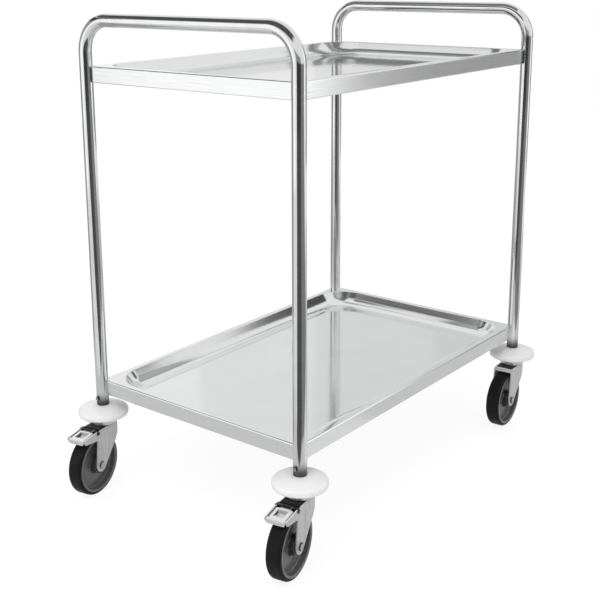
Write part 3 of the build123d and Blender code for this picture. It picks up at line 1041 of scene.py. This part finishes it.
class TROLLEY_OT_shelves(bpy.types.Operator):
    """Presses the two shelves and puts them in place of the plain ones"""

    bl_idname = "trolley.shelves"
    bl_label = "Shelves"

    def execute(self, context):
        settings = context.scene.trolley
        for name, node, polish in SHELVES:
            steel = sheet_steel(name, settings.finish.sheet, polish)
            sheet = pressed_sheet(name, node, settings.sizes, steel)
            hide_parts(node)
            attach(sheet, "chassis")
        return {"FINISHED"}


class TROLLEY_OT_bumper_discs(bpy.types.Operator):
    """Gives the four bumper discs their white moulded finish"""

    bl_idname = "trolley.bumper_discs"
    bl_label = "Bumper discs"

    def execute(self, context):
        white = moulded_plastic(
            "white_bumper",
            context.scene.trolley.finish.bumper,
            smooth=0.32,
            rough=0.42,
            depth=0.00002,
            marks_scale=30.0,
            marks_share=0.97,
        )
        dress(white, *[f"bumper_disc_{leg}" for leg in LEGS])
        return {"FINISHED"}


class TROLLEY_OT_castors(bpy.types.Operator):
    """Gives forks and foot brakes their plated finish"""

    bl_idname = "trolley.castors"
    bl_label = "Castors"

    def execute(self, context):
        finish = context.scene.trolley.finish
        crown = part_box("fork_front_left")[1].z
        plain = zinc_plate("zinc_plate", finish.zinc, finish.edge, crown, front=False)
        braked = zinc_plate("braked_zinc_plate", finish.zinc, finish.edge, crown, front=True)
        for leg in LEGS:
            dress(braked if leg in BRAKED else plain, f"fork_{leg}")
        for leg in BRAKED:
            dress(plain, f"brake_pedal_{leg}", f"brake_shoe_{leg}")
        return {"FINISHED"}


class TROLLEY_OT_wheels(bpy.types.Operator):
    """Gives rims, tyres and leg sleeves their moulded finish"""

    bl_idname = "trolley.wheels"
    bl_label = "Wheels"

    def execute(self, context):
        finish = context.scene.trolley.finish
        for leg in LEGS:
            rim = moulded_plastic(
                f"grey_rim_{leg}",
                finish.rim,
                smooth=0.22,
                rough=0.30,
                depth=0.00002,
                marks_scale=40.0,
                marks_share=0.88,
            )
            dress(paint_hub_shade(rim, AXLES[leg]), f"wheel_rim_{leg}")
        tyre = moulded_plastic(
            "dark_tyre",
            finish.tyre,
            smooth=0.42,
            rough=0.58,
            depth=0.00004,
            marks_scale=35.0,
            marks_share=0.75,
            shine=0.12,
        )
        sleeve = moulded_plastic(
            "black_sleeve",
            finish.sleeve,
            smooth=0.4,
            rough=0.5,
            depth=0.00002,
            marks_scale=40.0,
            marks_share=0.9,
        )
        dress(tyre, *[f"tyre_{leg}" for leg in LEGS])
        dress(sleeve, "leg_sleeves")
        return {"FINISHED"}


class TROLLEY_OT_fixings(bpy.types.Operator):
    """Gives bolts, nuts, pins, screws, stems and bearings their plated finish"""

    bl_idname = "trolley.fixings"
    bl_label = "Fixings"

    def execute(self, context):
        colour = context.scene.trolley.finish.fastener
        screw = fastener_steel("screw_steel", colour, (1, 0, 0))
        axle = fastener_steel("axle_steel", colour, (0, 1, 0))
        pin = fastener_steel("pin_steel", faded(colour, share=0.1), (0, 1, 0))
        stem = fastener_steel("stem_steel", colour, (0, 0, 1))
        # The swivel cup's sides are a painted highlight, brighter than its colour.
        cup = fastener_steel("cup_steel", colour, (0, 0, 1), share=1.3)
        dress(screw, "clamp_screws")
        for leg in LEGS:
            dress(axle, f"axle_bolt_{leg}", f"axle_nut_{leg}", f"axle_bush_{leg}")
            dress(stem, f"ball_ring_{leg}", f"castor_stem_{leg}", f"kingpin_nut_{leg}")
            dress(cup, f"swivel_cup_{leg}")
        for leg in BRAKED:
            dress(pin, f"pedal_pin_{leg}")
        return {"FINISHED"}


def seen_directly(tree):
    """Mask that is 1 for rays from the camera and for those that metal or glass sends on."""
    rays = add_node(tree, "ShaderNodeLightPath").outputs
    sharp = either(tree, rays["Is Camera Ray"], rays["Is Glossy Ray"])
    return either(tree, sharp, rays["Is Transmission Ray"])


def light_world(scene, strength):
    """World that lights evenly and shows as white."""
    world = bpy.data.worlds.new("Studio")
    scene.world = world
    world.use_nodes = True
    tree = world.node_tree
    even = tree.nodes["Background"]
    even.inputs["Color"].default_value = (1, 1, 1, 1)
    even.inputs["Strength"].default_value = strength
    white = add_node(tree, "ShaderNodeBackground")
    white.inputs["Color"].default_value = (1, 1, 1, 1)
    white.inputs["Strength"].default_value = 1.0
    mix = add_node(tree, "ShaderNodeMixShader")
    join(
        tree,
        (seen_directly(tree), mix.inputs["Fac"]),
        (even.outputs[0], mix.inputs[1]),
        (white.outputs[0], mix.inputs[2]),
        (mix.outputs[0], tree.nodes["World Output"].inputs["Surface"]),
    )


def bare_material(name):
    """Material with only an output, its node tree and the output's surface."""
    material = bpy.data.materials.new(name)
    material.use_nodes = True
    tree = material.node_tree
    tree.nodes.clear()
    return material, tree, add_node(tree, "ShaderNodeOutputMaterial").inputs["Surface"]


def stage_mesh(name, corners, material):
    """One face of the stage, which isn't part of the trolley."""
    mesh = bpy.data.meshes.new(name)
    mesh.from_pydata(corners, [], [tuple(range(len(corners)))])
    mesh.materials.append(material)
    piece = placed(name, mesh)
    return piece


def floor_paint(colour):
    """Pale floor that shows as white and keeps the trolley's shadow."""
    material, tree, surface = bare_material("studio_floor")
    matt = add_node(tree, "ShaderNodeBsdfDiffuse")
    matt.inputs["Color"].default_value = (*colour, 1)
    faint = add_node(tree, "ShaderNodeBsdfDiffuse")
    faint.inputs["Color"].default_value = (*FLOOR_SHADE, 1)
    glow = add_node(tree, "ShaderNodeEmission")
    glow.inputs["Strength"].default_value = FLOOR_GLOW
    shown = add_node(tree, "ShaderNodeAddShader")
    mix = add_node(tree, "ShaderNodeMixShader")
    join(
        tree,
        (glow.outputs[0], shown.inputs[0]),
        (faint.outputs[0], shown.inputs[1]),
        (seen_directly(tree), mix.inputs["Fac"]),
        (matt.outputs[0], mix.inputs[1]),
        (shown.outputs[0], mix.inputs[2]),
        (mix.outputs[0], surface),
    )
    return material


def soft_edges(tree, corners, fade, glow):
    """Brightness of a level card that goes over into white along its edges."""
    split = add_node(tree, "ShaderNodeSeparateXYZ")
    join(tree, (place_of(tree), split.inputs["Vector"]))
    mask = None
    for axis, index in (("X", 0), ("Y", 1)):
        low = min(corner[index] for corner in corners)
        high = max(corner[index] for corner in corners)
        for edge, inner in ((low, low + fade), (high, high - fade)):
            side = band(tree, split.outputs[axis], edge, inner)
            mask = both(tree, mask, side) if mask else side
    return ranged(tree, mask, low=1.0, high=glow)


def card(name, corners, glow, fade=0.0):
    """Studio card of one brightness, or one with soft edges, seen only in reflections."""
    material, tree, surface = bare_material(name)
    light = add_node(tree, "ShaderNodeEmission")
    light.inputs["Strength"].default_value = glow
    if fade:
        join(tree, (soft_edges(tree, corners, fade, glow), light.inputs["Strength"]))
    join(tree, (light.outputs[0], surface))
    piece = stage_mesh(name, corners, material)
    piece.visible_camera = False
    piece.visible_diffuse = False
    piece.visible_transmission = False
    piece.visible_volume_scatter = False
    piece.visible_shadow = False


def add_lamp(scene, power):
    """Soft lamp on the left, which metal doesn't mirror."""
    lamp = bpy.data.objects.new("key_lamp", bpy.data.lights.new("key_lamp", "AREA"))
    lamp.data.shape = "RECTANGLE"
    lamp.data.size, lamp.data.size_y = LAMP_SIZE
    lamp.data.energy = power
    lamp.matrix_world = Matrix.Translation(LAMP_PLACE) @ Matrix.Rotation(LAMP_TURN, 4, "Y")
    lamp.visible_glossy = False
    scene.collection.objects.link(lamp)


def add_camera(scene, stage):
    """Camera at the photograph's viewing angle."""
    camera = bpy.data.objects.new("camera", bpy.data.cameras.new("camera"))
    camera.data.lens = stage.lens
    camera.data.shift_x, camera.data.shift_y = stage.camera_shift
    heading, tilt, roll = stage.camera_turn
    camera.matrix_world = (
        Matrix.Translation(stage.camera_place)
        @ Matrix.Rotation(-heading, 4, "Z")
        @ Matrix.Rotation(math.pi / 2 - tilt, 4, "X")
        @ Matrix.Rotation(roll, 4, "Z")
    )
    scene.collection.objects.link(camera)
    scene.camera = camera


class TROLLEY_OT_stage(bpy.types.Operator):
    """Makes the floor, the light, the reflected cards and the camera"""

    bl_idname = "trolley.stage"
    bl_label = "Stage"

    def execute(self, context):
        scene = context.scene
        stage = scene.trolley.stage
        scene.view_settings.view_transform = "Standard"
        light_world(scene, stage.ambient)
        far = FLOOR_REACH
        floor = [(-far, -far, 0), (far, -far, 0), (far, far, 0), (-far, far, 0)]
        stage_mesh("studio_floor", floor, floor_paint(stage.floor))
        for name, outline, height, glow, fade in LEVEL_CARDS:
            card(name, [(x, y, height) for x, y in outline], glow, fade)
        for name, start, end, low, high, glow in UPRIGHT_CARDS:
            card(name, [(*start, low), (*end, low), (*end, high), (*start, high)], glow)
        add_lamp(scene, stage.key_power)
        add_camera(scene, stage)
        return {"FINISHED"}


class TROLLEY_PT_panel(bpy.types.Panel):
    """Lists the trolley's pieces and settings"""

    bl_idname = "TROLLEY_PT_panel"
    bl_label = "Serving trolley"
    bl_space_type = "VIEW_3D"
    bl_region_type = "UI"
    bl_category = "Trolley"

    def draw(self, context):
        for operator in OPERATORS:
            self.layout.operator(operator.bl_idname)
        for name in ("sizes", "finish", "stage"):
            group = getattr(context.scene.trolley, name)
            box = self.layout.box()
            for setting in group.__annotations__:
                box.prop(group, setting)


OPERATORS = (
    TROLLEY_OT_end_frames,
    TROLLEY_OT_shelves,
    TROLLEY_OT_bumper_discs,
    TROLLEY_OT_castors,
    TROLLEY_OT_wheels,
    TROLLEY_OT_fixings,
    TROLLEY_OT_stage,
)
CLASSES = (TrolleySizes, TrolleyFinish, TrolleyStage, TrolleySettings, *OPERATORS, TROLLEY_PT_panel)


def register():
    """Makes the classes known to Blender."""
    for item in CLASSES:
        bpy.utils.register_class(item)
    bpy.types.Scene.trolley = PointerProperty(type=TrolleySettings)


def unregister():
    """Takes the classes out again."""
    del bpy.types.Scene.trolley
    for item in reversed(CLASSES):
        bpy.utils.unregister_class(item)


def main():
    """Builds every piece in order."""
    register()
    bpy.ops.trolley.end_frames()
    bpy.ops.trolley.shelves()
    bpy.ops.trolley.bumper_discs()
    bpy.ops.trolley.castors()
    bpy.ops.trolley.wheels()
    bpy.ops.trolley.fixings()
    bpy.ops.trolley.stage()


if __name__ == "__main__":
    main()
